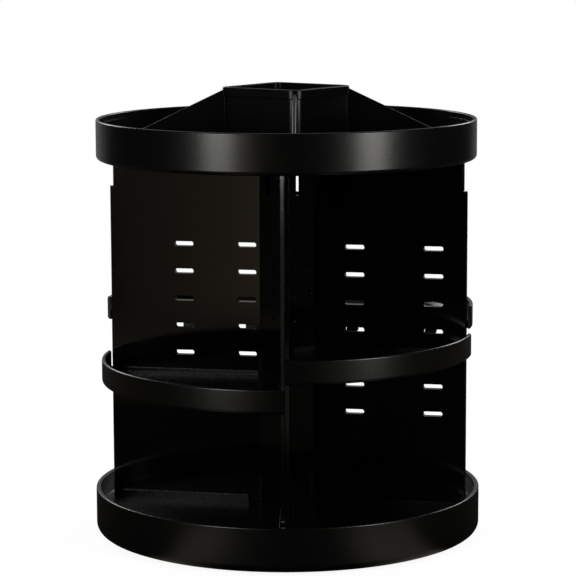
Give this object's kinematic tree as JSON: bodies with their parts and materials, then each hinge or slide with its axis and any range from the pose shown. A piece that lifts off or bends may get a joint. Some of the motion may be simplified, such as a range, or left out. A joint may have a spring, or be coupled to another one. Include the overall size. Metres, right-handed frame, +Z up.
{
  "type": "rotating organizer",
  "caption": "Round rotating organizer with a ball-bearing foot, a crossed spine of slotted panels, hooked corner shelves, base and top trays and a square centre cup with fins.",
  "frame": {"origin": "centre of the circle of foot pads, on the surface the organizer stands on", "axes": "+Z up along the turntable's axis; -Y towards the front arm of the spine; +X to the right seen from the front"},
  "size_m": [0.24, 0.24, 0.2779],
  "materials": {
    "satin_black": "satin moulded black plastic",
    "gloss_black": "glossy black plastic sheet",
    "cup_black": "satin black plastic, finely grained inside",
    "foot_plastic": "matte black plastic",
    "pad_rubber": "matte black rubber",
    "zinc_steel": "zinc plated steel",
    "ball_steel": "polished steel",
    "cage_plastic": "natural nylon"
  },
  "bodies": {
    "foot": {"foot_plate": "foot_plastic", "foot_pads": "pad_rubber", "lower_race": "zinc_steel", "lower_race_screws": "zinc_steel", "pivot_bolt": "zinc_steel", "pivot_washer": "zinc_steel", "pivot_nut": "zinc_steel"},
    "ball_ring": {"ball_cage": "cage_plastic", "bearing_balls": "ball_steel"},
    "carousel": {"base_tray": "satin_black", "upper_race": "zinc_steel", "upper_race_screws": "zinc_steel", "top_tray": "satin_black", "panel_front_left": "gloss_black", "panel_front_right": "gloss_black", "panel_back_right": "gloss_black", "panel_back_left": "gloss_black"},
    "cup": {"centre_cup": "cup_black"},
    "shelf_front_left": {"shelf_front_left": "satin_black"},
    "shelf_front_right": {"shelf_front_right": "satin_black"},
    "shelf_back_right": {"shelf_back_right": "satin_black"},
    "shelf_back_left": {"shelf_back_left": "satin_black"}
  },
  "joints": [
    {"name": "turntable_spin", "type": "hinge", "parent": "foot", "child": "carousel", "pos_m": [0, 0, 0], "axis": [0, 0, 1], "continuous": true},
    {"name": "ball_ring_spin", "type": "hinge", "parent": "foot", "child": "ball_ring", "pos_m": [0, 0, 0], "axis": [0, 0, 1], "continuous": true},
    {"name": "cup_lift", "type": "slide", "parent": "carousel", "child": "cup", "axis": [0, 0, 1], "range_m": [0, 0.06]},
    {"name": "front_left_shelf_slide", "type": "slide", "parent": "carousel", "child": "shelf_front_left", "axis": [-0.766, -0.6428, 0], "range_m": [0, 0.12]},
    {"name": "front_right_shelf_slide", "type": "slide", "parent": "carousel", "child": "shelf_front_right", "axis": [0.6428, -0.766, 0], "range_m": [0, 0.12]},
    {"name": "back_right_shelf_slide", "type": "slide", "parent": "carousel", "child": "shelf_back_right", "axis": [0.766, 0.6428, 0], "range_m": [0, 0.12]},
    {"name": "back_left_shelf_slide", "type": "slide", "parent": "carousel", "child": "shelf_back_left", "axis": [-0.6428, 0.766, 0], "range_m": [0, 0.12]}
  ],
  "couplings": [
    {"joint": "ball_ring_spin", "follows": "turntable_spin", "ratio": 0.5}
  ]
}
